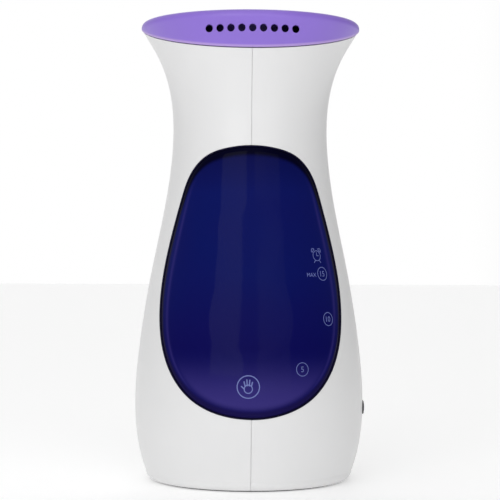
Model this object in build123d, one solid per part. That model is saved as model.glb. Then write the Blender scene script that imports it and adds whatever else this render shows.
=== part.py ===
from build123d import *
import os
from math import cos, radians, sin

# A handheld garment steamer of the kettle type, in millimetres. +Z is up, the front faces -Y,
# and the origin is on the resting plane, under the axis of the round body.

# ---- Body form -------------------------------------------------------------------------------
# Radius and height of the outer wall, from the foot over the belly and the waist to the rim.
BODY_WALL = [
    (45.2, 4.2),
    (48.1, 14.0),
    (50.0, 35.0),
    (48.1, 60.0),
    (43.7, 88.0),
    (38.0, 116.0),
    (34.6, 138.0),
    (33.75, 154.0),
    (36.0, 173.0),
    (41.5, 187.0),
    (48.6, 199.0),
]
TOP_Z = 200.0               # flat top of the head and of the rear deck
RIM_R = 49.1                # radius of the wall at the flat top
BASE_Z = 0.5                # underside of the shells and the base cover; the feet stand below it
BASE_FLAT_R = 41.7          # where the rounded foot of the body ends on the underside
FOOT_ROUND = (44.1, 1.6)    # a point on that rounding
SHELL_WALL = 2.2
SEAM_GAP = 0.02             # half of the gap between the two shells
GROOVE = 0.3                # width and depth of the visible groove along the seam
FAR = 120.0                 # larger than any half width of the object

# ---- Parting of head and body ----------------------------------------------------------------
PARTING_FRONT_Y = -40.2
PARTING_FRONT_Z = 184.7
PARTING_SLOPE = 0.287
LEDGE_Z = 197.0             # the parting runs level behind the slope
DECK_FRONT_Y = 14.2         # the white rear deck starts here
HEAD_GAP = 0.3
HEAD_OVERHANG = 0.4
HEAD_WALL = 2.2
HEAD_TOP = 1.8
HEAD_EDGE_ROUND = 1.1       # lower edge of the head
RIM_ROUND = 2.4             # upper edge of the head and of the deck
HOLE_R = 1.55
HOLE_PITCH = 4.5
HOLE_COUNT = 9
HOLE_Z = 192.6

# ---- Handle ----------------------------------------------------------------------------------
HANDLE_PATH = [(28.0, 187.6), (71.5, 187.6), (70.0, 33.5), (28.0, 33.5)]   # y and z of its centre line
HANDLE_BEND_R = 23.0
HANDLE_HALF_X = 12.0
HANDLE_HALF_Y = 10.5
HANDLE_WALL = 2.2
HANDLE_SOLID_Y = 58.0       # the ends of the handle are solid up to here
HANDLE_FIT = 0.05           # gap between the handle's ends and the body
GRIP_SCREW_YZ = [(71.2, 154.0), (70.7, 110.0), (70.3, 66.0)]
GRIP_SCREW_SEAT_X = -7.7    # underside of each head
GRIP_SCREW_LENGTH = 14.7
GRIP_BOSS_R = 4.4
GRIP_BOSS_HALF_X = 10.5
ROOT_SCREW_X = (-5.0, 5.0)
ROOT_SCREW_YZ = [(37.2, 187.6), (46.9, 33.5)]   # underside of each head, inside the body
ROOT_SCREW_LENGTH = 12.0

# ---- Tank and neck ---------------------------------------------------------------------------
TANK_INSET = 3.0            # tank wall inside the outer surface of the body
TANK_WALL = 2.0
TANK_FLOOR_Z = 36.5
TANK_WELD_Z = 150.0         # the bowl and the top are welded here
TANK_TOP_Z = 172.0
NECK_Y = -7.5
NECK_R = 15.5
NECK_TOP_Z = 184.0
TANK_EDGE_R = 3.5           # rounding of the tank's outer edges
TANK_INNER_EDGE_R = 2.5
WELL_R = 20.5               # hole in the deck for the skirt of the head
SKIRT_R = 20.0
SKIRT_LOW_Z = 174.0
SKIRT_WALL = 1.8
BAFFLE_Z = (186.0, 187.6)
BAFFLE_HOLE_R = 1.8
BAFFLE_HOLE_CIRCLE = 9.0
FLOOR_THICK = 1.8           # inner floor of the head
SEAL_GAP = 0.1

# ---- Window: right half of its outline, from the bottom to the top ---------------------------
WINDOW_LOW_Z = 30.8
WINDOW_HIGH_Z = 144.7
WINDOW_SIDE = [
    (14.0, 32.8),
    (25.4, 38.6),
    (34.4, 50.3),
    (38.7, 70.8),
    (35.3, 100.6),
    (29.8, 122.0),
    (25.4, 133.6),
    (18.8, 140.6),
    (10.0, 143.7),
]
GASKET = 0.7
PAD_PROUD = 0.5
PAD_EDGE_R = 0.4
LENS_GAP = 0.1              # between the lens and the tank behind it

# ---- Heater, under the tank floor ------------------------------------------------------------
PLATE_R = 32.0
PLATE_LOW_Z = 32.0
PLATE_RIM_Z = 34.5
PLATE_TOP_Z = 37.5
PLATE_CENTRE_R = 25.5
ELEMENT_R = 21.0
ELEMENT_TUBE_R = 3.2
ELEMENT_SWEEP = 300.0
CLAMP_RING = (27.0, 38.8, 29.9, 31.9)      # inner radius, outer radius, low z, high z
CLAMP_RING_FLAT_X = 33.5                    # the ring is cut flat here, beside the switch
HEATER_SCREW_R = 35.5
HEATER_SCREW_ANGLES = [60, 180, 300]
HEATER_BOSS_R = 3.0
ELEMENT_STUB = (2.4, 8.0)                   # radius and length of each turned-down end
ELEMENT_PIN = (1.0, 12.0)
THERMOSTAT_FLANGE_R = 8.0
THERMOSTAT_R = 6.6
THERMOSTAT_Z = (21.2, 28.0)                 # its underside and the underside of its flange
THERMOSTAT_TAB_X = (-5.2, 4.4)
CLIP_HALF_X = 14.0
CLIP_Y = (-2.0, 6.0)
CLIP_THICK = 1.2
CLIP_LOW_Z = 20.0
FUSE_Z = 23.0

# ---- Base ------------------------------------------------------------------------------------
FLANGE_LOW_Z = 3.0
FLANGE_TOP_Z = 5.0
FLANGE_R = 38.0
COVER_R = 41.4
CRADLE = (40.0, 43.0)                       # inner and outer radius
CRADLE_SLOT_Z = 25.5                        # lower edge of the opening for the switch
CRADLE_SLOT_HALF_Y = 11.0
BASE_SCREW_R = 32.5
BASE_SCREW_ANGLES = [30, 150, 270]
BASE_SCREW_SEAT_Z = 3.2
BASE_SCREW_LENGTH = 10.8
CRADLE_BOSS_TOP_Z = 16.0
FOOT_RING = (37.0, 40.4)                    # inner and outer radius
FOOT_TOP_Z = 1.5

# ---- Screws, all of one size -----------------------------------------------------------------
SCREW_R = 1.4
SCREW_HEAD_R = 2.7
SCREW_HEAD_H = 1.6
SCREW_CLEAR = 0.05          # a hole that the screw holds in
PASS_CLEAR = 0.25           # a hole that the screw passes through
HEAD_CLEAR = 0.3            # a recess round the screw's head
TIP_GAP = 0.3               # left free beyond the screw's tip
BOSS_R = 4.0
CROSS_HALF_WIDTH = 0.4
CROSS_HALF_LENGTH = 1.9
CROSS_DEPTH = 0.8

# ---- Power button on the right side ----------------------------------------------------------
BUTTON_Z = 31.8
BEZEL_SIZE = (14.0, 5.8)                    # along Y and Z
CAP_SIZE = (11.8, 3.7)
BEZEL_OPENING = (12.4, 4.3)
BEZEL_FLANGE = (17.0, 8.8)
CAP_FLANGE = (14.6, 6.5)
BEZEL_FACE_X = 50.2
CAP_FACE_X = 50.5
SWITCH_X = (34.0, 42.6)
SWITCH_HALF_Y = 7.0
SWITCH_Z = (27.5, 36.0)
PLUNGER_R = 1.2

# ---- Cord inlet at the rear ------------------------------------------------------------------
CORD_R = 3.3                                # bore of the gland
CORD_Z = 12.0
GLAND_R = 6.5
GLAND_NECK_HALF = 4.3                       # the neck is square, so that the gland can't turn
GLAND_Y = (41.4, 43.4, 49.0, 52.0)          # inner flange, then neck, then outer collar
CORD_SADDLE_Y = (27.0, 33.0)
CORD_SADDLE_HALF_X = 10.5
CORD_SCREW_X = 7.2
CORD_SCREW_LENGTH = 12.5
CLAMP_TOP_Z = 18.5
TERMINAL_X = (-26.0, -10.0)
TERMINAL_Y = (-14.0, -4.0)
TERMINAL_TOP_Z = 12.0
WIRE_R = 1.1
WIRE_LOW_Z = 7.5                            # height of the wires at the terminal block

UP = (Align.CENTER, Align.CENTER, Align.MIN)


# ---- Helpers ---------------------------------------------------------------------------------
def disc(radius, low, high, x=0.0, y=0.0):
    """An upright cylinder between two heights."""
    return Pos(x, y, low) * Cylinder(radius, high - low, align=UP)


def tube(inner, outer, low, high, x=0.0, y=0.0):
    """An upright pipe between two heights."""
    return disc(outer, low, high, x, y) - disc(inner, low - 1, high + 1, x, y)


def block(x, y, z):
    """A box from three pairs of limits."""
    size = Box(x[1] - x[0], y[1] - y[0], z[1] - z[0], align=(Align.MIN,) * 3)
    return Pos(x[0], y[0], z[0]) * size


def rod_x(radius, x, y, z):
    """A cylinder along X between two x limits."""
    return Pos(x[0], y, z) * Rot(0, 90, 0) * Cylinder(radius, x[1] - x[0], align=UP)


def rod_y(radius, y, x, z):
    """A cylinder along Y between two y limits."""
    return Pos(x, y[0], z) * Rot(-90, 0, 0) * Cylinder(radius, y[1] - y[0], align=UP)


def on_circle(radius, angles):
    """Points on a circle about the body's axis."""
    return [(radius * cos(radians(a)), radius * sin(radians(a))) for a in angles]


def side_block(outline, half_width=FAR):
    """A block whose side view, in y and z, is the outline."""
    face = make_face(Polyline(*outline, close=True).edges())
    return extrude(Plane.YZ * face, amount=half_width, both=True)


def slot_block(size, x):
    """A round-ended bar along Y, centred on the power button, between two x limits."""
    face = SlotOverall(size[0], size[1])
    return Pos(x[0], 0, BUTTON_Z) * extrude(Plane.YZ * face, amount=x[1] - x[0])


def body_face(inset=0.0):
    """Half of the round body's upright section, its wall moved inwards by the inset."""
    wall_points = [(r - inset, z) for r, z in BODY_WALL] + [(RIM_R - inset, TOP_Z)]
    wall = Spline(*wall_points)
    foot = ThreePointArc(
        (BASE_FLAT_R - inset, BASE_Z), (FOOT_ROUND[0] - inset, FOOT_ROUND[1]), wall_points[0]
    )
    rest = Polyline((RIM_R - inset, TOP_Z), (0, TOP_Z), (0, BASE_Z), (BASE_FLAT_R - inset, BASE_Z))
    section = make_face(wall.edges() + foot.edges() + rest.edges())
    rim_corner = section.vertices().sort_by(lambda v: v.X + v.Y)[-1]
    return fillet(rim_corner, RIM_ROUND)


def body_form(inset=0.0):
    """The round body as a solid, its wall moved inwards by the inset."""
    return revolve(Plane.XZ * body_face(inset), Axis.Z)


def handle_form(inset=0.0):
    """The loop handle as a swept oval, from the top of the body round to its foot."""
    path = Plane.YZ * FilletPolyline(*HANDLE_PATH, radius=HANDLE_BEND_R)
    section = Plane(origin=path @ 0, x_dir=(1, 0, 0), z_dir=path % 0)
    oval = section * Ellipse(HANDLE_HALF_X - inset, HANDLE_HALF_Y - inset)
    return sweep(oval, path)


def parting_z(y):
    """Height of the slanted parting plane."""
    return PARTING_FRONT_Z + PARTING_SLOPE * (y - PARTING_FRONT_Y)


def parting_y(z):
    """Where the slanted parting plane reaches a height."""
    return PARTING_FRONT_Y + (z - PARTING_FRONT_Z) / PARTING_SLOPE


def above_parting(lift, rear_y):
    """The space over the parting: slanted in front, level behind, up to a rear limit."""
    outline = [
        (-FAR, parting_z(-FAR) + lift),
        (parting_y(LEDGE_Z), LEDGE_Z + lift),
        (rear_y, LEDGE_Z + lift),
        (rear_y, TOP_Z + 20),
        (-FAR, TOP_Z + 20),
    ]
    return side_block(outline)


def window_face(inset=0.0):
    """The egg-shaped window in front view, in x and z, drawn smaller by the inset."""
    middle = (WINDOW_LOW_Z + WINDOW_HIGH_Z) / 2
    shrink_x = 1 - inset / max(x for x, z in WINDOW_SIDE)
    shrink_z = 1 - inset / (WINDOW_HIGH_Z - middle)
    left_side = [(-x, z) for x, z in reversed(WINDOW_SIDE)]
    outline = [(0, WINDOW_LOW_Z), *WINDOW_SIDE, (0, WINDOW_HIGH_Z), *left_side]
    points = [(x * shrink_x, middle + (z - middle) * shrink_z) for x, z in outline]
    return make_face(Spline(*points, periodic=True).edges())


def window_block(inset=0.0):
    """The window outline carried through the front half of the body."""
    return extrude(Plane.XZ * window_face(inset), amount=FAR / 2)


def screw(length):
    """A cross-head screw pointing up, with the underside of its head at the origin."""
    depth = (-SCREW_HEAD_H - 1, CROSS_DEPTH - SCREW_HEAD_H)
    short_side = (-CROSS_HALF_WIDTH, CROSS_HALF_WIDTH)
    long_side = (-CROSS_HALF_LENGTH, CROSS_HALF_LENGTH)
    head = disc(SCREW_HEAD_R, -SCREW_HEAD_H, 0)
    head -= block(short_side, long_side, depth)
    head -= block(long_side, short_side, depth)
    return head + disc(SCREW_R, 0, length)


def group(solids):
    """Separate solids as one node."""
    together = Part()
    for solid in solids:
        together += solid
    return together


def gland_neck(clearance, y):
    """The square neck of the cord gland, or the hole for it, between two y limits."""
    half = GLAND_NECK_HALF + clearance
    return block((-half, half), y, (CORD_Z - half, CORD_Z + half))


# ---- Shells ----------------------------------------------------------------------------------
def shell_cavity():
    """The space inside the round body: below the deck and above the bottom flange."""
    inside = body_form(SHELL_WALL)
    riser_y = DECK_FRONT_Y + SHELL_WALL
    ledge = LEDGE_Z - SHELL_WALL
    under_deck = side_block([
        (-FAR, FLANGE_TOP_Z),
        (FAR, FLANGE_TOP_Z),
        (FAR, TOP_Z - SHELL_WALL),
        (riser_y, TOP_Z - SHELL_WALL),
        (riser_y, ledge),
        (parting_y(LEDGE_Z), ledge),
        (-FAR, parting_z(-FAR) - SHELL_WALL),
    ])
    return inside & under_deck


def seam_groove(form, inner_form):
    """The shallow groove in a form's skin where its two halves meet."""
    return (form - inner_form) & block((-GROOVE / 2, GROOVE / 2), (-FAR, FAR), (0, TOP_Z))


def left_half(shape):
    return shape & block((-FAR, -SEAM_GAP), (-FAR, FAR), (-5, TOP_Z + 20))


def right_half(shape):
    return shape & block((SEAM_GAP, FAR), (-FAR, FAR), (-5, TOP_Z + 20))


def root_screw_holes(radius):
    """The holes for the screws that hold the handle's ends to the body."""
    reach = ROOT_SCREW_LENGTH + TIP_GAP
    return [rod_y(radius, (y - 6, y + reach), x, z) for y, z in ROOT_SCREW_YZ for x in ROOT_SCREW_X]


def whole_shell():
    """Both shells in one piece, before they are cut apart."""
    body = body_form()
    shell = body - shell_cavity()
    shell -= above_parting(0.0, DECK_FRONT_Y)
    shell -= disc(WELL_R, NECK_TOP_Z - 12, TOP_Z + 1, y=NECK_Y)
    shell -= disc(COVER_R + 0.2, 0, FLANGE_LOW_Z)
    shell -= disc(FLANGE_R, 0, FLANGE_TOP_Z + 0.5)
    shell -= window_block()
    shell -= slot_block((BEZEL_SIZE[0] + 0.1, BEZEL_SIZE[1] + 0.1), (44, 60))
    shell -= gland_neck(0.1, (40, 60))
    for hole in root_screw_holes(SCREW_R + PASS_CLEAR):
        shell -= hole
    return shell - seam_groove(body, body_form(GROOVE))


# ---- Handle halves ---------------------------------------------------------------------------
def whole_handle():
    """Both halves of the handle in one piece: hollow along the grip, solid at its ends."""
    outer = handle_form()
    hollow = handle_form(HANDLE_WALL) & block((-FAR, FAR), (HANDLE_SOLID_Y, FAR), (0, TOP_Z))
    handle = outer - hollow
    handle -= seam_groove(outer, handle_form(GROOVE))
    tip_x = GRIP_SCREW_SEAT_X + GRIP_SCREW_LENGTH + TIP_GAP
    for y, z in GRIP_SCREW_YZ:
        handle += rod_x(GRIP_BOSS_R, (-GRIP_BOSS_HALF_X, GRIP_BOSS_HALF_X), y, z)
        handle -= rod_x(SCREW_HEAD_R + HEAD_CLEAR, (-HANDLE_HALF_X - 2, GRIP_SCREW_SEAT_X), y, z)
        handle -= rod_x(SCREW_R + SCREW_CLEAR, (GRIP_SCREW_SEAT_X - 1, tip_x), y, z)
    for hole in root_screw_holes(SCREW_R + SCREW_CLEAR):
        handle -= hole
    return handle - body_form(-HANDLE_FIT)


def grip_screws():
    """Screws along X that pull the two handle halves together."""
    turned = Rot(0, 90, 0) * screw(GRIP_SCREW_LENGTH)
    return group(Pos(GRIP_SCREW_SEAT_X, y, z) * turned for y, z in GRIP_SCREW_YZ)


def root_screws():
    """Screws along Y, from inside the body into the solid ends of the handle."""
    turned = Rot(-90, 0, 0) * screw(ROOT_SCREW_LENGTH)
    return group(Pos(x, y, z) * turned for y, z in ROOT_SCREW_YZ for x in ROOT_SCREW_X)


# ---- Base ------------------------------------------------------------------------------------
def cord_tunnel():
    """The cord's passage through the saddle and its clamp."""
    return rod_y(CORD_R + 0.1, (CORD_SADDLE_Y[0] - 1, CORD_SADDLE_Y[1] + 1), 0, CORD_Z)


def clamp_screw_places():
    """The two points in plan where the cord clamp is screwed to its saddle."""
    middle_y = sum(CORD_SADDLE_Y) / 2
    return [(-CORD_SCREW_X, middle_y), (CORD_SCREW_X, middle_y)]


def base_cover():
    cover = disc(COVER_R, BASE_Z, FLANGE_LOW_Z)
    for x, y in on_circle(BASE_SCREW_R, BASE_SCREW_ANGLES):
        cover += disc(BOSS_R, FLANGE_LOW_Z - 0.5, FLANGE_TOP_Z, x, y)
        cover -= disc(SCREW_HEAD_R + HEAD_CLEAR, 0, BASE_SCREW_SEAT_Z, x, y)
        cover -= disc(SCREW_R + PASS_CLEAR, 0, FLANGE_TOP_Z + 1, x, y)
    cover -= tube(FOOT_RING[0] - 0.1, FOOT_RING[1] + 0.1, 0, FOOT_TOP_Z)
    saddle_x = (-CORD_SADDLE_HALF_X, CORD_SADDLE_HALF_X)
    cover += block(saddle_x, CORD_SADDLE_Y, (FLANGE_LOW_Z - 0.5, CORD_Z))
    cover -= cord_tunnel()
    for x, y in clamp_screw_places():
        cover -= disc(SCREW_R + SCREW_CLEAR, CLAMP_TOP_Z - CORD_SCREW_LENGTH - 1, CORD_Z + 1, x, y)
    return cover


def base_screws():
    places = on_circle(BASE_SCREW_R, BASE_SCREW_ANGLES)
    return group(Pos(x, y, BASE_SCREW_SEAT_Z) * screw(BASE_SCREW_LENGTH) for x, y in places)


def rubber_foot():
    """The grip ring that the steamer stands on."""
    return tube(FOOT_RING[0], FOOT_RING[1], 0, FOOT_TOP_Z)


def tank_cradle():
    """The ring that carries the tank, standing on the shells' bottom flange."""
    ring = tube(CRADLE[0], CRADLE[1], FLANGE_TOP_Z, TANK_FLOOR_Z)
    for angle in BASE_SCREW_ANGLES:
        height = (FLANGE_TOP_Z, CRADLE_BOSS_TOP_Z)
        web = block((BASE_SCREW_R + 2.5, CRADLE[0] + 1), (-1.5, 1.5), height)
        boss = disc(BOSS_R, *height, BASE_SCREW_R)
        boss -= disc(SCREW_R + SCREW_CLEAR, 0, BASE_SCREW_SEAT_Z + BASE_SCREW_LENGTH + 0.5, BASE_SCREW_R)
        ring += Rot(0, 0, angle) * (web + boss)
    slot = (-CRADLE_SLOT_HALF_Y, CRADLE_SLOT_HALF_Y)
    ring -= block((30, 50), slot, (CRADLE_SLOT_Z, TANK_FLOOR_Z + 1))
    ring -= block((-9, 9), (35, 50), (0, 22))
    return ring


def cord_gland():
    """The bushing held between the shells: inner flange, neck and outer collar."""
    gland = rod_y(GLAND_R, GLAND_Y[0:2], 0, CORD_Z)
    gland += gland_neck(0.0, (GLAND_Y[1] - 0.5, GLAND_Y[2] + 0.5))
    gland += rod_y(GLAND_R, GLAND_Y[2:4], 0, CORD_Z)
    return gland - rod_y(CORD_R, (GLAND_Y[0] - 1, GLAND_Y[3] + 1), 0, CORD_Z)


def cord_clamp():
    half = CORD_SADDLE_HALF_X
    clamp = block((-half, half), CORD_SADDLE_Y, (CORD_Z + 0.1, CLAMP_TOP_Z)) - cord_tunnel()
    for x, y in clamp_screw_places():
        clamp -= disc(SCREW_R + SCREW_CLEAR, CORD_Z - 1, CLAMP_TOP_Z + 1, x, y)
    return clamp


def cord_clamp_screws():
    turned = Rot(180, 0, 0) * screw(CORD_SCREW_LENGTH)
    return group(Pos(x, y, CLAMP_TOP_Z) * turned for x, y in clamp_screw_places())


# ---- Tank ------------------------------------------------------------------------------------
def tank_form(inset, low, high, edge):
    """The tank's outer or inner form, with rounded bottom and top edges."""
    band = Pos(0, low) * Rectangle(FAR, high - low, align=(Align.MIN, Align.MIN))
    section = body_face(inset) & band
    corners = section.vertices().filter_by(lambda v: v.X > 1)
    return revolve(Plane.XZ * fillet(corners, edge), Axis.Z)


def whole_tank():
    """The bowl and the top of the tank in one piece, before they are cut apart."""
    tank = tank_form(TANK_INSET, TANK_FLOOR_Z, TANK_TOP_Z, TANK_EDGE_R)
    tank += disc(NECK_R, TANK_TOP_Z - 1, NECK_TOP_Z, y=NECK_Y)
    inner = TANK_INSET + TANK_WALL
    tank -= tank_form(inner, TANK_FLOOR_Z + TANK_WALL, TANK_TOP_Z - TANK_WALL, TANK_INNER_EDGE_R)
    tank -= disc(NECK_R - TANK_WALL, TANK_TOP_Z - 5, NECK_TOP_Z + 1, y=NECK_Y)
    tank -= disc(PLATE_CENTRE_R + 0.5, TANK_FLOOR_Z - 1, TANK_FLOOR_Z + 5)
    for x, y in on_circle(HEATER_SCREW_R, HEATER_SCREW_ANGLES):
        tank += disc(HEATER_BOSS_R, CLAMP_RING[3], TANK_FLOOR_Z + 0.5, x, y)
        tank -= disc(SCREW_R + SCREW_CLEAR, CLAMP_RING[3] - 1, TANK_FLOOR_Z + 1, x, y)
    return tank


def window_lens():
    """The glossy pad that fills the window, in front of the tank's wall."""
    pad = window_block(GASKET) & body_form(-PAD_PROUD)
    pad = fillet(pad.faces().sort_by(Axis.Y)[0].edges(), PAD_EDGE_R)
    return pad - body_form(TANK_INSET - LENS_GAP)


def window_gasket():
    """The dark lip between the window's edge and the shells."""
    lip = window_block(0.02) - window_block(GASKET - 0.02)
    return lip & (body_form(-0.15) - body_form(TANK_INSET - LENS_GAP))


# ---- Heater ----------------------------------------------------------------------------------
def heating_plate():
    plate = disc(PLATE_R, PLATE_LOW_Z, PLATE_RIM_Z)
    raised = disc(PLATE_CENTRE_R, PLATE_RIM_Z - 0.5, PLATE_TOP_Z)
    raised = fillet(raised.edges().filter_by(GeomType.CIRCLE).sort_by(Axis.Z)[-1], 1.0)
    return plate + raised


def tank_seal():
    return tube(PLATE_CENTRE_R + 0.2, PLATE_R, PLATE_RIM_Z, TANK_FLOOR_Z)


def heater_element():
    """The sheathed ring under the plate, with its two ends turned down."""
    start = -90 + (360 - ELEMENT_SWEEP) / 2
    centre_z = PLATE_LOW_Z - ELEMENT_TUBE_R
    section = Plane.XZ * Pos(ELEMENT_R, centre_z) * Circle(ELEMENT_TUBE_R)
    ring = Rot(0, 0, start) * revolve(section, Axis.Z, ELEMENT_SWEEP)
    for x, y in on_circle(ELEMENT_R, [start, start + ELEMENT_SWEEP]):
        ring += Pos(x, y, centre_z) * Sphere(ELEMENT_TUBE_R)
        for radius, length in (ELEMENT_STUB, ELEMENT_PIN):
            ring += disc(radius, centre_z - length, centre_z, x, y)
    return ring


def heater_clamp_ring():
    """The flat ring that pulls the plate and its seal up against the tank floor."""
    inner, outer, low, high = CLAMP_RING
    ring = tube(inner, outer, low, high) - block((CLAMP_RING_FLAT_X, 50), (-30, 30), (0, 50))
    for x, y in on_circle(HEATER_SCREW_R, HEATER_SCREW_ANGLES):
        ring -= disc(SCREW_R + PASS_CLEAR, low - 1, high + 1, x, y)
    return ring


def heater_screws():
    low = CLAMP_RING[2]
    places = on_circle(HEATER_SCREW_R, HEATER_SCREW_ANGLES)
    return group(Pos(x, y, low) * screw(TANK_FLOOR_Z + 0.5 - low) for x, y in places)


def thermostat():
    part = disc(THERMOSTAT_FLANGE_R, THERMOSTAT_Z[1], PLATE_LOW_Z)
    part += disc(THERMOSTAT_R, THERMOSTAT_Z[0], THERMOSTAT_Z[1] + 0.5)
    for x in THERMOSTAT_TAB_X:
        part += block((x, x + 0.8), (-10.5, -2), (23.5, 26.0))
    return part


def thermostat_clip():
    """A spring strap over the thermostat, its two legs welded to the plate."""
    clip = block((-CLIP_HALF_X, CLIP_HALF_X), CLIP_Y, (CLIP_LOW_Z, CLIP_LOW_Z + CLIP_THICK))
    for x in (-CLIP_HALF_X, CLIP_HALF_X - CLIP_THICK):
        clip += block((x, x + CLIP_THICK), CLIP_Y, (CLIP_LOW_Z + 0.5, PLATE_LOW_Z))
    return clip


def thermal_fuse():
    """The fuse's barrel and its two leads, beside the thermostat."""
    return rod_y(2.0, (8.6, 15.0), 0, FUSE_Z) + rod_y(0.5, (8.0, 20.5), 0, FUSE_Z)


# ---- Wiring ----------------------------------------------------------------------------------
def terminal_block():
    body = block(TERMINAL_X, TERMINAL_Y, (FLANGE_LOW_Z, TERMINAL_TOP_Z))
    for x in (TERMINAL_X[0] + 4, TERMINAL_X[1] - 4):
        body -= rod_y(WIRE_R + 0.5, (TERMINAL_Y[0] - 1, TERMINAL_Y[1] + 1), x, WIRE_LOW_Z)
        body -= disc(1.8, 9, TERMINAL_TOP_Z + 1, x, sum(TERMINAL_Y) / 2)
    return body


def wire(points, bend):
    """A round wire along straight runs joined by arcs."""
    path = FilletPolyline(*points, radius=bend)
    section = Plane(origin=path @ 0, z_dir=path % 0) * Circle(WIRE_R)
    return sweep(section, path)


def internal_wires():
    """Leads between the terminal block, the switch, the thermostat and the heater."""
    low = WIRE_LOW_Z
    end_x = ELEMENT_R * sin(radians((360 - ELEMENT_SWEEP) / 2))
    end_y = -ELEMENT_R * cos(radians((360 - ELEMENT_SWEEP) / 2))
    pin_z = 16.5
    switch_y = 3.5
    tab = (38, switch_y, 22.5)
    to_heater = [(-14, -14.5, low), (-14, -24, low), (-end_x, end_y - 6, low), (-end_x, end_y, low),
                 (-end_x, end_y, pin_z)]
    to_switch = [(-22, -3.5, low), (-22, 8, low), (14, 8, low + 1), (38, switch_y, 13), tab]
    back = [(end_x, end_y, pin_z), (end_x, end_y, 11.5), (28, -8, 11.5), (38, -switch_y, 13),
            (38, -switch_y, 22.5)]
    return wire(to_heater, 2.2) + wire(to_switch, 4) + wire(back, 2.5)


# ---- Power button ----------------------------------------------------------------------------
def switch_body():
    body = block(SWITCH_X, (-SWITCH_HALF_Y, SWITCH_HALF_Y), SWITCH_Z)
    body -= rod_x(PLUNGER_R + 0.1, (38.5, 43), 0, BUTTON_Z)
    for y in (-3.5, 3.5):
        body += block((36.5, 39.5), (y - 0.4, y + 0.4), (22.5, SWITCH_Z[0] + 0.5))
    return body


def switch_bracket():
    """A channel that rests on the cradle and holds the switch between two cheeks."""
    plate = block((33.0, 42.9), (-10.8, 10.8), (CRADLE_SLOT_Z, SWITCH_Z[0]))
    plate -= block((36.0, 40.0), (-4.5, 4.5), (CRADLE_SLOT_Z - 1, SWITCH_Z[0] + 1))
    for y in (-8.6, SWITCH_HALF_Y):
        plate += block((35, 41.5), (y, y + 1.6), (SWITCH_Z[0] - 0.5, 34.5))
    return plate


def button_bezel():
    bezel = slot_block(BEZEL_SIZE, (46.5, BEZEL_FACE_X)) + slot_block(BEZEL_FLANGE, (45.6, 46.6))
    return bezel - slot_block(BEZEL_OPENING, (44, 52))


def button_cap():
    cap = slot_block(CAP_SIZE, (45.0, CAP_FACE_X))
    cap = fillet(cap.faces().sort_by(Axis.X)[-1].edges(), 0.5)
    return cap + slot_block(CAP_FLANGE, (44.2, 45.5))


def switch_plunger():
    return rod_x(PLUNGER_R, (40.5, 44.2), 0, BUTTON_Z)


# ---- Head ------------------------------------------------------------------------------------
def steam_head():
    """The coloured cover with its row of steam holes."""
    rear_y = DECK_FRONT_Y - HEAD_GAP
    head = body_form(-HEAD_OVERHANG) & above_parting(HEAD_GAP, rear_y)
    lower_edge = head.edges().filter_by(lambda e: e.center().Z < LEDGE_Z + 1 and e.length > 10)
    head = fillet(lower_edge.filter_by(GeomType.BSPLINE), HEAD_EDGE_ROUND)
    cavity = body_form(HEAD_WALL - HEAD_OVERHANG) & disc(FAR, 0, TOP_Z - HEAD_TOP)
    cavity &= side_block([(-FAR, 0), (rear_y - HEAD_WALL, 0), (rear_y - HEAD_WALL, 300), (-FAR, 300)])
    head -= cavity
    for i in range(HOLE_COUNT):
        x = (i - (HOLE_COUNT - 1) / 2) * HOLE_PITCH
        head -= rod_y(HOLE_R, (-FAR / 2, -20), x, HOLE_Z)
    return head


def head_floor():
    """The inner floor of the head, with the skirt that reaches over the neck of the tank."""
    rear_y = DECK_FRONT_Y - HEAD_GAP - HEAD_WALL - 0.1
    low = HEAD_GAP
    high = HEAD_GAP + FLOOR_THICK
    roof = TOP_Z - HEAD_TOP - 0.1
    ledge = LEDGE_Z + low
    plate = body_form(HEAD_WALL - HEAD_OVERHANG + 0.1) & side_block([
        (-FAR, parting_z(-FAR) + low),
        (parting_y(LEDGE_Z), ledge),
        (rear_y, ledge),
        (rear_y, roof),
        (parting_y(roof - high), roof),
        (-FAR, parting_z(-FAR) + high),
    ])
    inner = SKIRT_R - SKIRT_WALL
    skirt = tube(inner, SKIRT_R, SKIRT_LOW_Z, roof, y=NECK_Y)
    skirt &= side_block([(-FAR, 0), (rear_y, 0), (rear_y, 300), (-FAR, 300)])
    return plate + skirt - disc(inner, SKIRT_LOW_Z - 1, TOP_Z, y=NECK_Y)


def head_baffle():
    """The perforated disc that sends drops back into the tank."""
    radius = SKIRT_R - SKIRT_WALL - 0.05
    baffle = disc(radius, *BAFFLE_Z, y=NECK_Y)
    for x, y in on_circle(BAFFLE_HOLE_CIRCLE, range(0, 360, 60)):
        baffle -= disc(BAFFLE_HOLE_R, BAFFLE_Z[0] - 1, BAFFLE_Z[1] + 1, x, y + NECK_Y)
    return baffle


def head_seal():
    radius = SKIRT_R - SKIRT_WALL - 0.05
    return tube(NECK_R - TANK_WALL - 0.5, radius, NECK_TOP_Z + SEAL_GAP, BAFFLE_Z[0], y=NECK_Y)


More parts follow.
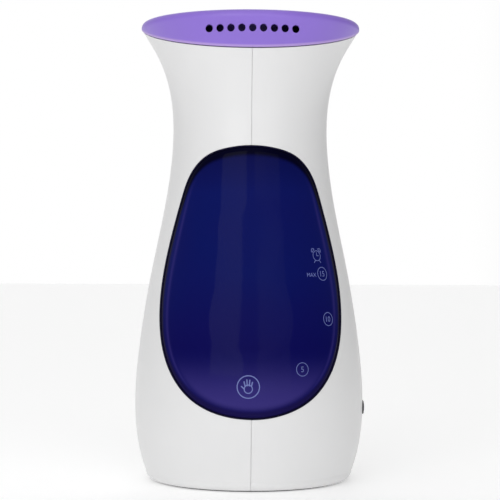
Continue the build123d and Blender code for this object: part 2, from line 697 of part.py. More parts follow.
# ---- Write every node ------------------------------------------------------------------------
def build_nodes():
    shell = whole_shell()
    handle = whole_handle()
    tank = whole_tank()
    nodes = {
        "left_shell": left_half(shell),
        "right_shell": right_half(shell),
        "left_handle": left_half(handle),
        "right_handle": right_half(handle),
        "tank_bowl": tank & disc(FAR, 0, TANK_WELD_Z),
        "tank_top": tank & disc(FAR, TANK_WELD_Z, TOP_Z),
    }
    makers = [
        grip_screws, root_screws, base_cover, base_screws, rubber_foot, tank_cradle, cord_gland,
        cord_clamp, cord_clamp_screws, window_lens, window_gasket, tank_seal, heating_plate,
        heater_element, heater_clamp_ring, heater_screws, thermostat, thermostat_clip,
        thermal_fuse, terminal_block, internal_wires, switch_body, switch_bracket, button_bezel,
        button_cap, switch_plunger, steam_head, head_floor, head_baffle, head_seal,
    ]
    for maker in makers:
        nodes[maker.__name__] = maker()
    return nodes


os.makedirs("parts", exist_ok=True)
for name, shape in build_nodes().items():
    export_step(shape, f"parts/{name}.step")
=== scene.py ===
import math

import bmesh
import bpy
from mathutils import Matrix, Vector
from mathutils.bvhtree import BVHTree


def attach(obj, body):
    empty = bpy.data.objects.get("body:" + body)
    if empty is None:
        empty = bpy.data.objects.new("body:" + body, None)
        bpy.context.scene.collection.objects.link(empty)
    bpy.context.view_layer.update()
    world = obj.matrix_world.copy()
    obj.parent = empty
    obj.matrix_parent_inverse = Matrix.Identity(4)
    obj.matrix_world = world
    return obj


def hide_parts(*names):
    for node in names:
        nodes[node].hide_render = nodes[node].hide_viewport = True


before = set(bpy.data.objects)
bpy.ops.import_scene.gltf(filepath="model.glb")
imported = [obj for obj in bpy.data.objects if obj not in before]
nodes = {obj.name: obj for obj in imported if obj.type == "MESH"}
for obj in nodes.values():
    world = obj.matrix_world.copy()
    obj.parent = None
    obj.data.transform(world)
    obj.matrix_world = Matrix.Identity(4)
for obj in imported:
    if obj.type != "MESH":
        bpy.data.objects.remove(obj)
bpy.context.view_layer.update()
MM = 0.001
FULL_TURN = 2 * math.pi


def add_object(name, data):
    """A new object in the scene that holds the data."""
    made = bpy.data.objects.new(name, data)
    bpy.context.scene.collection.objects.link(made)
    return made


# ---- Camera, lights and floor ----------------------------------------------------------------
CAMERA_DISTANCE = 0.712
CAMERA_HEIGHT = 0.1006
CAMERA_LEVEL = math.radians(90)
CAMERA_YAW = math.radians(-1.2)      # the camera stands a little to the left of the front
CAMERA_ROLL = math.radians(-0.25)
CAMERA_LENS = 116.2
CAMERA_SENSOR = 36.0
CAMERA_SHIFT_X = 0.001
CAMERA_NEAR = 0.01
# Brightness of the surround from the left (0) over front and back (0.5) to the right (1).
WORLD_STOPS = [(0.0, 0.46), (0.22, 0.63), (0.40, 1.0), (0.58, 1.0), (0.75, 0.44), (1.0, 0.30)]
LIGHT_AIM = (0, 0, 0.1)              # the middle of the object
LIGHT_SIZE = (0.7, 0.5)
KEY_PLACE = (-0.45, -1.05, 0.40)
KEY_POWER = 2.3
FILL_PLACE = (0.45, -1.05, 0.30)
FILL_POWER = 1.0
FLOOR_SIZE = 8.0
FLOOR_COLOUR = (0.96, 0.96, 0.96)
FLOOR_GLOW = 0.21                    # lifts the pale floor nearly to the surround's brightness


def make_camera():
    """The camera in front of the object, level with its middle."""
    data = bpy.data.cameras.new("camera")
    data.lens = CAMERA_LENS
    data.sensor_width = CAMERA_SENSOR
    data.shift_x = CAMERA_SHIFT_X
    data.clip_start = CAMERA_NEAR
    camera = add_object("camera", data)
    x = CAMERA_DISTANCE * math.sin(CAMERA_YAW)
    y = -CAMERA_DISTANCE * math.cos(CAMERA_YAW)
    camera.location = (x, y, CAMERA_HEIGHT)
    camera.rotation_euler = (CAMERA_LEVEL, CAMERA_ROLL, CAMERA_YAW)
    bpy.context.scene.camera = camera


def area_light(name, place, power):
    """A soft rectangular light at a place, turned towards the object."""
    data = bpy.data.lights.new(name, "AREA")
    data.shape = "RECTANGLE"
    data.size, data.size_y = LIGHT_SIZE
    data.energy = power
    lamp = add_object(name, data)
    lamp.location = place
    lamp.rotation_euler = (Vector(LIGHT_AIM) - Vector(place)).to_track_quat("-Z", "Y").to_euler()


def make_world():
    """A white surround that is dimmer to the sides, so that the round body shades off there."""
    world = bpy.data.worlds.new("studio")
    world.use_nodes = True
    tree = world.node_tree
    direction = tree.nodes.new("ShaderNodeTexCoord").outputs["Generated"]
    split = tree.nodes.new("ShaderNodeSeparateXYZ")
    tree.links.new(direction, split.inputs["Vector"])
    across = tree.nodes.new("ShaderNodeMapRange")
    across.inputs["From Min"].default_value = -1.0
    tree.links.new(split.outputs["X"], across.inputs["Value"])
    light = ramp(tree, across.outputs["Result"], greys(WORLD_STOPS))
    tree.links.new(light, tree.nodes["Background"].inputs["Color"])
    bpy.context.scene.world = world


def make_studio():
    """The surround, two lights and the floor."""
    make_world()
    bpy.context.scene.view_settings.view_transform = "Standard"
    area_light("key", KEY_PLACE, KEY_POWER)
    area_light("fill", FILL_PLACE, FILL_POWER)
    bpy.ops.mesh.primitive_plane_add(size=FLOOR_SIZE, location=(0, 0, 0))
    floor = bpy.context.active_object
    floor.name = "studio_floor"
    white = plastic("floor_white", FLOOR_COLOUR, 0.6, grain=0.0, mottling=0.0)
    shader = white.node_tree.nodes["Principled BSDF"]
    shader.inputs["Emission Color"].default_value = (1.0, 1.0, 1.0, 1.0)
    shader.inputs["Emission Strength"].default_value = FLOOR_GLOW
    floor.data.materials.append(white)


# ---- Shader building blocks ------------------------------------------------------------------
def node_material(name):
    """A new material, its node tree and its shader."""
    material = bpy.data.materials.new(name)
    material.use_nodes = True
    tree = material.node_tree
    return material, tree, tree.nodes["Principled BSDF"]


def place_vector(tree):
    """Coordinates of the piece itself, in metres."""
    return tree.nodes.new("ShaderNodeTexCoord").outputs["Object"]


def noise(tree, scale, detail=3.0, place=None):
    """Soft noise from 0 to 1: its scale is in cells per metre."""
    node = tree.nodes.new("ShaderNodeTexNoise")
    node.inputs["Scale"].default_value = scale
    node.inputs["Detail"].default_value = detail
    tree.links.new(place or place_vector(tree), node.inputs["Vector"])
    return node.outputs["Fac"]


def greys(stops):
    """Ramp stops from plain (position, value) pairs."""
    return [(position, (value, value, value)) for position, value in stops]


def ramp(tree, source, stops):
    """A colour ramp fed by a value: stops are (position, colour)."""
    node = tree.nodes.new("ShaderNodeValToRGB")
    elements = node.color_ramp.elements
    while len(elements) < len(stops):
        elements.new(0.5)
    for element, (position, colour) in zip(elements, stops):
        element.position = position
        element.color = (*colour, 1.0)
    tree.links.new(source, node.inputs["Fac"])
    return node.outputs["Color"]


def add_bump(tree, shader, height, strength, distance):
    """Turns a height pattern into fine relief: the distance is its full depth in metres."""
    node = tree.nodes.new("ShaderNodeBump")
    node.inputs["Strength"].default_value = strength
    node.inputs["Distance"].default_value = distance
    tree.links.new(height, node.inputs["Height"])
    tree.links.new(node.outputs["Normal"], shader.inputs["Normal"])


def map_range(tree, source, low, high):
    """Stretches a value from 0 to 1 over the range from low to high."""
    node = tree.nodes.new("ShaderNodeMapRange")
    node.inputs["To Min"].default_value = low
    node.inputs["To Max"].default_value = high
    tree.links.new(source, node.inputs["Value"])
    return node.outputs["Result"]


def add_gloss(tree, shader, pattern, low, high):
    """Uneven gloss: roughness between two values, by a pattern."""
    tree.links.new(map_range(tree, pattern, low, high), shader.inputs["Roughness"])


def height_colour(tree, stops):
    """A colour that changes with height: stops are (height in metres, colour)."""
    split = tree.nodes.new("ShaderNodeSeparateXYZ")
    tree.links.new(place_vector(tree), split.inputs["Vector"])
    low = stops[0][0]
    high = stops[-1][0]
    scaled = tree.nodes.new("ShaderNodeMapRange")
    scaled.inputs["From Min"].default_value = low
    scaled.inputs["From Max"].default_value = high
    tree.links.new(split.outputs["Z"], scaled.inputs["Value"])
    return ramp(tree, scaled.outputs["Result"], [((z - low) / (high - low), c) for z, c in stops])


def mix(tree, factor, first, second):
    """A blend of two colours, each a socket or a constant."""
    node = tree.nodes.new("ShaderNodeMix")
    node.data_type = "RGBA"
    tree.links.new(factor, node.inputs[0])
    for socket, value in ((node.inputs[6], first), (node.inputs[7], second)):
        if isinstance(value, tuple):
            socket.default_value = (*value, 1.0)
        else:
            tree.links.new(value, socket)
    return node.outputs[2]


def mesh_value(tree, name):
    """A value stored on the mesh's vertices."""
    node = tree.nodes.new("ShaderNodeAttribute")
    node.attribute_name = name
    return node.outputs["Fac"]


def shade(colour, factor):
    """The colour made lighter or darker."""
    return tuple(min(1.0, c * factor) for c in colour)


# ---- Plastics, rubbers and metals ------------------------------------------------------------
CLOUD_SCALE = 35.0
GLOSS_SCALE = 160.0
FINE_GRAIN_SCALE = 4200.0
COARSE_GRAIN_SCALE = 2200.0
COAT_ROUGHNESS = 0.12
RUBBER_ROUGHNESS = 0.75
RUBBER_SPECKLE_SCALE = 900.0
RUBBER_GRAIN_SCALE = 2500.0
RUBBER_GRAIN = 0.4
BRUSH_SCALE = 420.0
BRUSH_STRETCH = (1.0, 1.0, 18.0)
NO_STRETCH = (1.0, 1.0, 1.0)
BRUSH_GRAIN = 0.15
HARD_DEPTH = 0.03 * MM               # depth of the relief on plastic and metal
SOFT_DEPTH = 0.05 * MM               # depth of the relief on rubber and on the window


def plastic(name, colour, roughness, grain=0.15, coat=0.0, mottling=0.03,
            grain_scale=FINE_GRAIN_SCALE):
    """Moulded plastic: a faint cloudiness, a fine grain in the surface and uneven gloss."""
    material, tree, shader = node_material(name)
    colours = [(0.3, shade(colour, 1 - mottling)), (0.7, shade(colour, 1 + mottling))]
    clouded = ramp(tree, noise(tree, CLOUD_SCALE, 4.0), colours)
    tree.links.new(clouded, shader.inputs["Base Color"])
    add_gloss(tree, shader, noise(tree, GLOSS_SCALE, 5.0), roughness * 0.85, roughness * 1.15)
    shader.inputs["Coat Weight"].default_value = coat
    shader.inputs["Coat Roughness"].default_value = COAT_ROUGHNESS
    if grain:
        add_bump(tree, shader, noise(tree, grain_scale, 2.0), grain, HARD_DEPTH)
    return material


def rubber(name, colour):
    """Dull rubber with a speckled colour and a soft grain."""
    material, tree, shader = node_material(name)
    colours = [(0.3, shade(colour, 0.7)), (0.75, shade(colour, 1.5))]
    speckled = ramp(tree, noise(tree, RUBBER_SPECKLE_SCALE, 6.0), colours)
    tree.links.new(speckled, shader.inputs["Base Color"])
    shader.inputs["Roughness"].default_value = RUBBER_ROUGHNESS
    add_bump(tree, shader, noise(tree, RUBBER_GRAIN_SCALE), RUBBER_GRAIN, SOFT_DEPTH)
    return material


def metal(name, colour, roughness, brushed=True):
    """Bare metal with fine drawn lines, unless it is plain, and slightly uneven polish."""
    material, tree, shader = node_material(name)
    stretch = tree.nodes.new("ShaderNodeMapping")
    stretch.inputs["Scale"].default_value = BRUSH_STRETCH if brushed else NO_STRETCH
    tree.links.new(place_vector(tree), stretch.inputs["Vector"])
    lines = noise(tree, BRUSH_SCALE, 6.0, stretch.outputs["Vector"])
    lined = ramp(tree, lines, [(0.3, shade(colour, 0.8)), (0.7, colour)])
    tree.links.new(lined, shader.inputs["Base Color"])
    shader.inputs["Metallic"].default_value = 1.0
    add_gloss(tree, shader, lines, roughness * 0.7, roughness * 1.4)
    add_bump(tree, shader, lines, BRUSH_GRAIN, HARD_DEPTH)
    return material


# ---- Window and seal materials ---------------------------------------------------------------
# Colours of the window by height in metres, with painted shade darkening its top, and of its dark edge,
# which is painted shade on its rounded edge.
LENS_COLOURS = [
    (0.030, (0.007, 0.005, 0.080)),
    (0.045, (0.004, 0.006, 0.090)),
    (0.060, (0.002, 0.003, 0.078)),
    (0.090, (0.002, 0.007, 0.100)),
    (0.125, (0.002, 0.008, 0.105)),
    # painted shade: the window's colour darkens at its top
    (0.145, (0.001, 0.003, 0.045)),
]
LENS_EDGE_SHADE_COLOURS = [
    (0.030, (0.008, 0.005, 0.062)),
    (0.060, (0.003, 0.001, 0.030)),
    (0.130, (0.0005, 0.0003, 0.010)),
]
LENS_CLOUD = (0.008, 0.003, 0.076)
LENS_CLOUD_SCALE = 28.0
LENS_CLOUD_MOST = 0.45
# colour of the painted violet sheen: highlight line and reflection on the window
LENS_SHEEN_VIOLET = (0.048, 0.036, 0.210)
LENS_GLOSS_SCALE = 60.0
LENS_ROUGHNESS = (0.06, 0.10)
LENS_WAVE_SCALE = 90.0
LENS_WAVE = 0.03
LENS_SPECULAR = 0.03
GASKET_BLACK = (0.003, 0.002, 0.018)
GASKET_SPECULAR = 0.08
TANK_CLOUD_SCALE = 40.0
TANK_COLOURS = [(0.3, (0.008, 0.010, 0.10)), (0.7, (0.012, 0.015, 0.13))]
TANK_ROUGHNESS = 0.15
TANK_CLEARNESS = 0.25
TANK_IOR = 1.5


def lens_material():
    """Dark blue clear plastic over a dim tank: its rounded edge is painted nearly black as shade, and a
    violet sheen is painted on as a highlight.
    """
    material, tree, shader = node_material("lens_blue")
    depth = height_colour(tree, LENS_COLOURS)
    cloud = map_range(tree, noise(tree, LENS_CLOUD_SCALE, 2.0), 0.0, LENS_CLOUD_MOST)
    clouded = mix(tree, cloud, depth, LENS_CLOUD)
    # painted sheen: a violet highlight line and a violet reflection low on the window
    violet = mix(tree, mesh_value(tree, "painted_sheen"), clouded, LENS_SHEEN_VIOLET)
    # painted shade on the window's rounded edge, darker towards the top
    dark = height_colour(tree, LENS_EDGE_SHADE_COLOURS)
    edged = mix(tree, mesh_value(tree, "painted_shade"), violet, dark)
    tree.links.new(edged, shader.inputs["Base Color"])
    add_gloss(tree, shader, noise(tree, LENS_GLOSS_SCALE), *LENS_ROUGHNESS)
    shader.inputs["Specular IOR Level"].default_value = LENS_SPECULAR
    add_bump(tree, shader, noise(tree, LENS_WAVE_SCALE, 2.0), LENS_WAVE, SOFT_DEPTH)
    return material


def gasket_material():
    """Soft blue-black lip, with almost no shine."""
    material = rubber("gasket_blue_black", GASKET_BLACK)
    shader = material.node_tree.nodes["Principled BSDF"]
    shader.inputs["Specular IOR Level"].default_value = GASKET_SPECULAR
    return material


def tank_material():
    """Dark blue plastic that lets a little light through."""
    material, tree, shader = node_material("tank_blue")
    clouded = ramp(tree, noise(tree, TANK_CLOUD_SCALE), TANK_COLOURS)
    tree.links.new(clouded, shader.inputs["Base Color"])
    shader.inputs["Roughness"].default_value = TANK_ROUGHNESS
    shader.inputs["Transmission Weight"].default_value = TANK_CLEARNESS
    shader.inputs["IOR"].default_value = TANK_IOR
    return material


# ---- Head material ---------------------------------------------------------------------------
PURPLE = (0.250, 0.146, 0.62)
# the pale violet of the painted highlight on the head's rounded lower edge
PURPLE_EDGE_HIGHLIGHT = (0.54, 0.38, 0.72)
PARTING_SLOPE = 0.287
PARTING_HEIGHT = 196.54 * MM         # height of the head's slanted lower edge over the body's axis
LEDGE_HEIGHT = 197.3 * MM            # its level lower edge, behind the slant
EDGE_WIDTH = 1.7 * MM
EDGE_HIGHLIGHT_STOPS = [(0.0, 0.35), (0.35, 0.75), (1.0, 0.0)]      # painted highlight strength, from the lower edge to EDGE_WIDTH


def height_above(tree, slope, height):
    """How far a point lies over a plane that rises to the back by the slope."""
    along = tree.nodes.new("ShaderNodeVectorMath")
    along.operation = "DOT_PRODUCT"
    along.inputs[1].default_value = (0.0, -slope, 1.0)
    tree.links.new(place_vector(tree), along.inputs[0])
    above = tree.nodes.new("ShaderNodeMath")
    above.operation = "SUBTRACT"
    above.inputs[1].default_value = height
    tree.links.new(along.outputs["Value"], above.inputs[0])
    return above.outputs["Value"]


def head_material():
    """Violet plastic with a painted highlight: its rounded lower edge is paler."""
    material = plastic("head_purple", PURPLE, 0.38, coat=0.05)
    tree = material.node_tree
    shader = tree.nodes["Principled BSDF"]
    farther = tree.nodes.new("ShaderNodeMath")
    farther.operation = "MAXIMUM"
    tree.links.new(height_above(tree, PARTING_SLOPE, PARTING_HEIGHT), farther.inputs[0])
    tree.links.new(height_above(tree, 0.0, LEDGE_HEIGHT), farther.inputs[1])
    part = tree.nodes.new("ShaderNodeMapRange")
    part.inputs["From Max"].default_value = EDGE_WIDTH
    tree.links.new(farther.outputs["Value"], part.inputs["Value"])
    # painted highlight along the head's rounded lower edge
    painted_highlight = ramp(tree, part.outputs["Result"], greys(EDGE_HIGHLIGHT_STOPS))
    body_colour = shader.inputs["Base Color"].links[0].from_socket
    edged = mix(tree, painted_highlight, body_colour, PURPLE_EDGE_HIGHLIGHT)
    tree.links.new(edged, shader.inputs["Base Color"])
    return material


# ---- Materials of the CAD nodes --------------------------------------------------------------
def paint(names, material):
    """Gives each named node the material, in place of what it had."""
    for name in names:
        mesh = nodes[name].data
        mesh.materials.clear()
        mesh.materials.append(material)


def paint_casing():
    """The white body, the handle, the base and the purple head."""
    white = plastic("shell_white", (0.75, 0.75, 0.752), 0.36, coat=0.1, mottling=0.012)
    base = plastic("base_white", (0.66, 0.66, 0.655), 0.5, grain=0.5, grain_scale=COARSE_GRAIN_SCALE)
    inner = plastic("head_inner", (0.20, 0.13, 0.45), 0.5, grain=0.3)
    paint(["left_shell", "right_shell", "left_handle", "right_handle"], white)
    paint(["base_cover"], base)
    paint(["steam_head"], head_material())
    paint(["head_floor", "head_baffle"], inner)


def paint_trim():
    """The button, the gland, the seals and the foot."""
    black = plastic("trim_black", (0.02, 0.02, 0.025), 0.35, grain=0.25)
    button = plastic("button_grey", (0.42, 0.42, 0.45), 0.35, coat=0.2)
    seal = rubber("seal_black", (0.012, 0.012, 0.016))
    foot = rubber("foot_grey", (0.10, 0.10, 0.11))
    paint(["button_bezel", "cord_gland"], black)
    paint(["button_cap", "switch_plunger"], button)
    paint(["tank_seal", "head_seal"], seal)
    paint(["window_gasket"], gasket_material())
    paint(["rubber_foot"], foot)


def paint_inside():
    """The tank, the frame parts, the heater and the wiring."""
    grey = plastic("frame_grey", (0.32, 0.33, 0.35), 0.5, grain=0.3)
    brown = plastic("phenolic_brown", (0.035, 0.022, 0.018), 0.45, grain=0.4)
    nylon = plastic("nylon_cream", (0.72, 0.69, 0.60), 0.5, grain=0.2)
    sleeve = plastic("sleeve_cream", (0.70, 0.68, 0.60), 0.7, grain=0.5)
    screw_steel = metal("screw_steel", (0.62, 0.62, 0.64), 0.3)
    bright_steel = metal("bright_steel", (0.5, 0.5, 0.5), 0.3)
    plate_grey = metal("plate_grey", (0.55, 0.55, 0.56), 0.35, brushed=False)
    fuse_plate = metal("fuse_plate", (0.70, 0.60, 0.35), 0.3)
    screws = ["grip_screws", "root_screws", "base_screws", "heater_screws", "cord_clamp_screws"]
    paint(["tank_bowl", "tank_top"], tank_material())
    paint(["tank_cradle", "cord_clamp", "switch_bracket"], grey)
    paint(["thermostat", "switch_body"], brown)
    paint(["terminal_block"], nylon)
    paint(["internal_wires"], sleeve)
    paint(screws, screw_steel)
    paint(["heater_element", "heater_clamp_ring", "thermostat_clip"], bright_steel)
    paint(["heating_plate"], plate_grey)
    paint(["thermal_fuse"], fuse_plate)


# ---- Body surface ----------------------------------------------------------------------------
PROBE_START_X = -0.3                 # well outside the body, on its left


def wall_finder():
    """Returns the radius of the round body at a height, read from the left shell's plain side."""
    tree = BVHTree.FromObject(nodes["left_shell"], bpy.context.evaluated_depsgraph_get())

    def radius(z):
        """Where a level line from the left meets the body."""
        hit = tree.ray_cast(Vector((PROBE_START_X, 0.0, z)), Vector((1, 0, 0)))[0]
        return -hit.x
    return radius


wall_radius = wall_finder()


def on_wall(turn, z, lift):
    """A point over the body's surface: turn is the angle from the front towards +X."""
    r = wall_radius(z) + lift
    return Vector((r * math.sin(turn), -r * math.cos(turn), z))


def facing_wall(x, z, lift):
    """The point over the body's surface that a front view shows at x and z."""
    r = wall_radius(z) + lift
    return Vector((x, -math.sqrt(max(0.0, r * r - x * x)), z))


def turn_for(x, z):
    """The angle round the body at which a front view shows a point this far to the right."""
    return math.asin(x / (wall_radius(z) + LENS_PROUD))


def add_window_piece(name, mesh, material):
    """Ends a mesh that belongs to the window as a piece that rides on the housing."""
    data = bpy.data.meshes.new(name)
    mesh.to_mesh(data)
    mesh.free()
    data.materials.append(material)
    piece = add_object(name, data)
    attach(piece, "housing")
    return piece


# ---- Window pad ------------------------------------------------------------------------------
LENS_PROUD = 0.5 * MM
PAD_BACK = -2.8 * MM                 # the rear of the pad's side wall, from the body's surface
PAD_ROUND = 2.4 * MM                 # width of the pad's rounded edge
PAD_DROP = 0.9 * MM                  # how far that edge falls
# Distances of the pad's rings from its edge, in mm.
PAD_INSETS = [0, 0.15, 0.4, 0.8, 1.2, 1.6, 2.0, 2.4, 2.8, 3.2, 3.6, 4.2, 5, 6, 7.5, 9, 11, 14, 18, 23, 28]
OUTLINE_POINTS = 180
WINDOW_MIDDLE_Z = 0.0878
SIDE_WALL_TILT = 0.02                # a face of the lens whose normal has less Y is on its side wall
# Width of the painted dark edge shade by height, both in mm, and where in that width it starts and stops
# fading.
SHADE_BAND_WIDTHS = [(30, 3.0), (45, 2.4), (60, 1.3), (115, 1.3), (132, 2.6), (141, 4.4), (150, 4.6)]
SHADE_BAND_FADE = (0.55, 1.1)
# A faint violet line beside the dark edge, a painted highlight: it starts away from the middle and fades
# to the top.
LINE_INSET = 2.9 * MM
LINE_WIDTH = 0.55 * MM
LINE_STRENGTH = 0.35
LINE_SIDE_X = (0.020, 0.030)
LINE_TOP_Z = (0.120, 0.135)
# A broad violet zone over the heater, a painted reflection.
ZONE_STRENGTH = 0.7
ZONE_TOP_Z = (0.036, 0.058)
ZONE_INSET = (0.002, 0.005)


def interpolate(stops, value):
    """A value read from a list of (place, value) stops."""
    for (a, low_value), (b, high_value) in zip(stops, stops[1:]):
        if value <= b:
            part = max(0.0, (value - a) / (b - a))
            return low_value + (high_value - low_value) * part
    return stops[-1][1]


def smooth_step(low, high, value):
    """Rises smoothly from 0 at low to 1 at high."""
    t = min(1.0, max(0.0, (value - low) / (high - low)))
    return t * t * (3 - 2 * t)


def window_outline():
    """The window pad's outline in front view, read from the side wall of the CAD lens."""
    mesh = nodes["window_lens"].data
    seen = {}
    for polygon in mesh.polygons:
        if abs(polygon.normal.y) < SIDE_WALL_TILT:
            for i in polygon.vertices:
                place = mesh.vertices[i].co
                seen[math.atan2(place.x, WINDOW_MIDDLE_Z - place.z)] = (place.x, place.z)
    angles = sorted(seen)
    first = angles[0]
    last = angles[-1]
    # The ends are repeated a full turn away, so that the outline closes.
    closed = [(last - FULL_TURN, seen[last])]
    closed += [(angle, seen[angle]) for angle in angles]
    closed.append((first + FULL_TURN, seen[first]))
    xs = [(angle, x) for angle, (x, z) in closed]
    zs = [(angle, z) for angle, (x, z) in closed]
    turns = [-math.pi + FULL_TURN * i / OUTLINE_POINTS for i in range(OUTLINE_POINTS)]
    return [(interpolate(xs, turn), interpolate(zs, turn)) for turn in turns]


def pad_drop(inset):
    """How far the pad's face lies below its crown at a distance from its edge."""
    part = max(0.0, 1 - inset / PAD_ROUND)
    return PAD_DROP * (1 - math.sqrt(1 - part ** 2))


def painted_edge_shade(inset, z):
    """How much painted shade darkens the pad at a distance from its edge: 1 is darkest."""
    width = interpolate(SHADE_BAND_WIDTHS, z / MM) * MM
    fade_start, fade_end = SHADE_BAND_FADE
    return 1 - smooth_step(fade_start * width, fade_end * width, inset)


def painted_edge_sheen(inset, x, z):
    """The painted violet sheen: a thin highlight line along both sides and a broad painted reflection
    over the heater.
    """
    line = math.exp(-((inset - LINE_INSET) / LINE_WIDTH) ** 2)
    line *= smooth_step(*LINE_SIDE_X, abs(x)) * (1 - smooth_step(*LINE_TOP_Z, z)) * LINE_STRENGTH
    zone = (1 - smooth_step(*ZONE_TOP_Z, z)) * smooth_step(*ZONE_INSET, inset)
    return max(line, ZONE_STRENGTH * zone)


def make_window_pad():
    """The window's pad: rings over its front from the edge inwards, a side wall, and one back face."""
    outline = window_outline()
    count = len(outline)
    mesh = bmesh.new()
    painted_shade_values = []
    painted_sheen_values = []

    def add_ring(inset, lift):
        """The outline drawn in towards the window's middle, with the painted shade and painted sheen of
        each point.
        """
        made = []
        for x, z in outline:
            reach = math.hypot(x, z - WINDOW_MIDDLE_Z)
            keep = max(0.0, 1 - inset / reach)
            px = x * keep
            pz = WINDOW_MIDDLE_Z + (z - WINDOW_MIDDLE_Z) * keep
            made.append(mesh.verts.new(facing_wall(px, pz, lift)))
            painted_shade_values.append(painted_edge_shade(inset, pz))
            painted_sheen_values.append(painted_edge_sheen(inset, px, pz))
        return made

    def join(first, second):
        """A strip of four-sided faces between two rings."""
        for i in range(count):
            k = (i + 1) % count
            mesh.faces.new([first[i], first[k], second[k], second[i]]).smooth = True

    rings = [add_ring(inset * MM, LENS_PROUD - pad_drop(inset * MM)) for inset in PAD_INSETS]
    for outer, inner in zip(rings, rings[1:]):
        join(inner, outer)
    mesh.faces.new(rings[-1]).smooth = True
    back = add_ring(0.0, PAD_BACK)
    join(rings[0], back)
    mesh.faces.new(list(reversed(back)))
    bmesh.ops.recalc_face_normals(mesh, faces=mesh.faces)
    pad = add_window_piece("window_pad", mesh, lens_material())
    # the painted shade and painted sheen are stored on the vertices for the window's material
    for name, values in (("painted_shade", painted_shade_values), ("painted_sheen", painted_sheen_values)):
        layer = pad.data.attributes.new(name, "FLOAT", "POINT")
        layer.data.foreach_set("value", values)
    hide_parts("window_lens")


# ---- Marks on the window ---------------------------------------------------------------------
MARK_LIFT = 0.03 * MM
MARK_DEPTH = 0.06 * MM
WELD_DISTANCE = 1e-7
INK = (0.115, 0.145, 0.40)
LINE = 0.28 * MM
RING_STEPS = 40
CAP_STEPS = 8
LETTER_STEPS = 3

NUMBER_RING_R = 2.75 * MM
NUMBER_HEIGHT = 2.3 * MM
MAX_HEIGHT = 1.6 * MM

CLOCK_R = 2.1 * MM
MINUTE_HAND = 1.35 * MM
HOUR_HAND = 1.0 * MM
CLOCK_FOOT_TOP = (1.1 * MM, -1.95 * MM)
CLOCK_FOOT_END = (1.9 * MM, -2.9 * MM)
BELL_PLACE = (1.75 * MM, 2.1 * MM)
BELL_R = 0.95 * MM
BELL_TILT = math.radians(45)
BELL_STEPS = 12

HAND_RING_R = 4.6 * MM
HAND_RING_LINE = 0.42 * MM
FINGER_LINE = 0.5 * MM
PALM_R = 1.7 * MM
PALM_DROP = 0.9 * MM
PALM_LINE = 0.4 * MM
# Root and tip of each finger and of the thumb, in mm from the ring's middle.
FINGERS = [
    ((-1.3, 0.2), (-1.75, 2.1)),
    ((-0.45, 0.5), (-0.6, 2.9)),
    ((0.45, 0.5), (0.6, 2.8)),
    ((1.3, 0.2), (1.7, 1.9)),
    ((-1.6, -0.9), (-2.8, 0.2)),
]

# Where a front view shows each mark, in mm to the right of the middle and over the floor.
NUMBER_PLACES = [("5", (21.2, 51.3)), ("10", (32.5, 71.7)), ("15", (30.1, 90.7))]
MAX_PLACE = (25.4, 90.3)
CLOCK_PLACE = (27.7, 98.3)
HAND_PLACE = (-1.3, 44.4)


def in_mm(point):
    """A flat point given in mm, in metres."""
    return tuple(value * MM for value in point)


def direction(angle):
    """The flat direction at an angle."""
    return Vector((math.cos(angle), math.sin(angle)))


def capsule(start, end, width):
    """Outline of a round-ended stroke between two flat points."""
    start = Vector(start)
    end = Vector(end)
    along = (end - start).normalized()
    angle = math.atan2(along.y, along.x)
    points = []
    for centre, first in ((end, angle - math.pi / 2), (start, angle + math.pi / 2)):
        for i in range(CAP_STEPS + 1):
            points.append(centre + width / 2 * direction(first + math.pi * i / CAP_STEPS))
    return points


def ring(centre, radius, width, start=0.0, sweep=FULL_TURN, steps=RING_STEPS):
    """A circular stroke as a list of four-sided tiles."""
    tiles = []
    centre = Vector(centre)
    inner = radius - width / 2
    outer = radius + width / 2
    for i in range(steps):
        a = direction(start + sweep * i / steps)
        b = direction(start + sweep * (i + 1) / steps)
        tiles.append([centre + inner * a, centre + outer * a, centre + outer * b, centre + inner * b])
    return tiles


def text_tiles(words, height):
    """The faces of a few letters or digits, centred on the origin."""
    curve = bpy.data.curves.new("letters", "FONT")
    curve.body = words
    curve.resolution_u = LETTER_STEPS
    holder = add_object("letters", curve)
    mesh = bpy.data.meshes.new_from_object(holder)
    xs = [v.co.x for v in mesh.vertices]
    ys = [v.co.y for v in mesh.vertices]
    scale = height / (max(ys) - min(ys))
    middle = Vector(((max(xs) + min(xs)) / 2, (max(ys) + min(ys)) / 2))
    flat = [(Vector((v.co.x, v.co.y)) - middle) * scale for v in mesh.vertices]
    tiles = [[flat[i] for i in polygon.vertices] for polygon in mesh.polygons]
    bpy.data.objects.remove(holder)
    return tiles


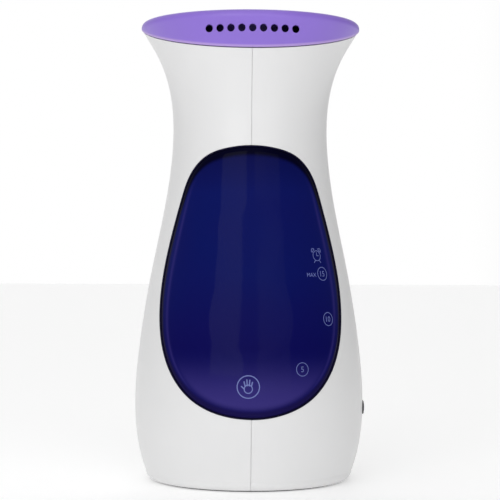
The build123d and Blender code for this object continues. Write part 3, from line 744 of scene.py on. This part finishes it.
def print_mark(name, place, tiles, material):
    """Lays flat tiles on the window as a thin printed film: the place is as in a front view, in mm."""
    x, z = in_mm(place)
    turn = turn_for(x, z)
    radius = wall_radius(z) + LENS_PROUD
    mesh = bmesh.new()
    for tile in tiles:
        top = []
        low = []
        for point in tile:
            angle = turn + point.x / radius
            top.append(mesh.verts.new(on_wall(angle, z + point.y, LENS_PROUD + MARK_LIFT)))
            low.append(mesh.verts.new(on_wall(angle, z + point.y, LENS_PROUD + MARK_LIFT - MARK_DEPTH)))
        mesh.faces.new(top)
        mesh.faces.new(list(reversed(low)))
        for i in range(len(tile)):
            j = (i + 1) % len(tile)
            mesh.faces.new([top[j], top[i], low[i], low[j]])
    bmesh.ops.remove_doubles(mesh, verts=mesh.verts, dist=WELD_DISTANCE)
    add_window_piece(name, mesh, material)


def number_mark(words):
    """A number in a ring."""
    return ring((0, 0), NUMBER_RING_R, LINE) + text_tiles(words, NUMBER_HEIGHT)


def clock_mark():
    """A round clock with two bells, two feet and two hands."""
    tiles = ring((0, 0), CLOCK_R, LINE)
    tiles.append(capsule((0, 0), (0, MINUTE_HAND), LINE))
    tiles.append(capsule((0, 0), (HOUR_HAND, 0), LINE))
    for side in (-1, 1):
        foot_top = (side * CLOCK_FOOT_TOP[0], CLOCK_FOOT_TOP[1])
        foot_end = (side * CLOCK_FOOT_END[0], CLOCK_FOOT_END[1])
        tiles.append(capsule(foot_top, foot_end, LINE))
        bell = Vector((side * BELL_PLACE[0], BELL_PLACE[1]))
        start = -side * BELL_TILT
        tiles += ring(bell, BELL_R, LINE, start, math.pi, BELL_STEPS)
        end = direction(start) * BELL_R
        tiles.append(capsule(bell + end, bell - end, LINE))
    return tiles


def hand_mark():
    """A plain open hand in a ring: fingers as strokes over a round palm line."""
    tiles = ring((0, 0), HAND_RING_R, HAND_RING_LINE)
    for root, tip in FINGERS:
        tiles.append(capsule(in_mm(root), in_mm(tip), FINGER_LINE))
    tiles += ring((0, -PALM_DROP), PALM_R, PALM_LINE)
    return tiles


def print_marks():
    """The scale of minutes, its limit, the clock over it and the hand over the heater."""
    ink = plastic("mark_ink", INK, 0.4, grain=0.0, mottling=0.08)
    for words, place in NUMBER_PLACES:
        print_mark(f"mark_{words}", place, number_mark(words), ink)
    print_mark("mark_max", MAX_PLACE, text_tiles("MAX", MAX_HEIGHT), ink)
    print_mark("mark_clock", CLOCK_PLACE, clock_mark(), ink)
    print_mark("mark_hand", HAND_PLACE, hand_mark(), ink)


# ---- Put it together -------------------------------------------------------------------------
make_camera()
make_studio()
paint_casing()
paint_trim()
paint_inside()
make_window_pad()
print_marks()
